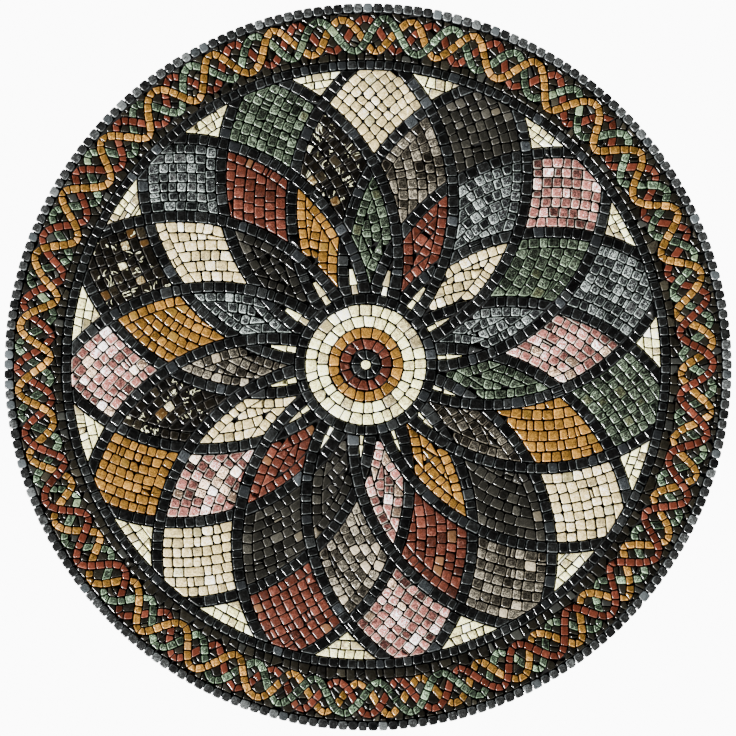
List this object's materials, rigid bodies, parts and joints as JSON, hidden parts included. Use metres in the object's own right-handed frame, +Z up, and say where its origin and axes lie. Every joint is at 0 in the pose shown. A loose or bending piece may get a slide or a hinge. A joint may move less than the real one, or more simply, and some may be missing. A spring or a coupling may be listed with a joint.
{
  "type": "round mosaic wall panel",
  "caption": "Round stone mosaic panel: a rosette of coloured petals outlined in black, with a small roundel in the middle and a braided border, in a thin mortar bed with a flat back.",
  "frame": {"origin": "centre of the flat back of the mortar bed, where it lies against the wall", "axes": "+Z up the wall, +Y into the wall, so the mosaic faces -Y, and +X to the right of someone who faces it"},
  "size_m": [0.7232, 0.0143, 0.7232],
  "materials": {
    "black_marble": "honed, with worn pale arrises",
    "cream_marble": "honed",
    "ochre_marble": "honed",
    "red_marble": "honed",
    "green_marble": "honed, mottled",
    "grey_marble": "honed, mottled",
    "pink_marble": "honed, mottled and veined",
    "taupe_marble": "honed",
    "charcoal_marble": "honed",
    "umber_marble": "honed, with white and gold veins",
    "mortar": "matt, trowelled"
  },
  "bodies": {
    "root": {"setting_bed": "mortar", "outer_course": "black_marble", "braid_border": "charcoal_marble", "field_border": "black_marble", "petal_outlines": "black_marble", "petal_outer_01_cream": "cream_marble", "petal_outer_02_charcoal": "charcoal_marble", "petal_outer_03_pink": "pink_marble", "petal_outer_04_grey": "grey_marble", "petal_outer_05_green": "green_marble", "petal_outer_06_cream": "cream_marble", "petal_outer_07_taupe": "taupe_marble", "petal_outer_08_pink": "pink_marble", "petal_outer_09_red": "red_marble", "petal_outer_10_cream": "cream_marble", "petal_outer_11_ochre": "ochre_marble", "petal_outer_12_pink": "pink_marble", "petal_outer_13_umber": "umber_marble", "petal_outer_14_grey": "grey_marble", "petal_outer_15_green": "green_marble", "petal_middle_01_taupe": "taupe_marble", "petal_middle_02_grey": "grey_marble", "petal_middle_03_green": "green_marble", "petal_middle_04_pink": "pink_marble", "petal_middle_05_ochre": "ochre_marble", "petal_middle_06_charcoal": "charcoal_marble", "petal_middle_07_red": "red_marble", "petal_middle_08_taupe": "taupe_marble", "petal_middle_09_charcoal": "charcoal_marble", "petal_middle_10_pink": "pink_marble", "petal_middle_11_umber": "umber_marble", "petal_middle_12_ochre": "ochre_marble", "petal_middle_13_cream": "cream_marble", "petal_middle_14_red": "red_marble", "petal_middle_15_umber": "umber_marble", "petal_inner_01_green": "green_marble", "petal_inner_02_red": "red_marble", "petal_inner_03_cream": "cream_marble", "petal_inner_04_grey": "grey_marble", "petal_inner_05_green": "green_marble", "petal_inner_06_taupe": "taupe_marble", "petal_inner_07_ochre": "ochre_marble", "petal_inner_08_pink": "pink_marble", "petal_inner_09_charcoal": "charcoal_marble", "petal_inner_10_red": "red_marble", "petal_inner_11_cream": "cream_marble", "petal_inner_12_taupe": "taupe_marble", "petal_inner_13_grey": "grey_marble", "petal_inner_14_charcoal": "charcoal_marble", "petal_inner_15_ochre": "ochre_marble", "roundel_cream": "cream_marble", "roundel_ochre": "ochre_marble", "roundel_red": "red_marble", "roundel_black": "black_marble", "roundel_centre": "cream_marble"}
  },
  "joints": []
}
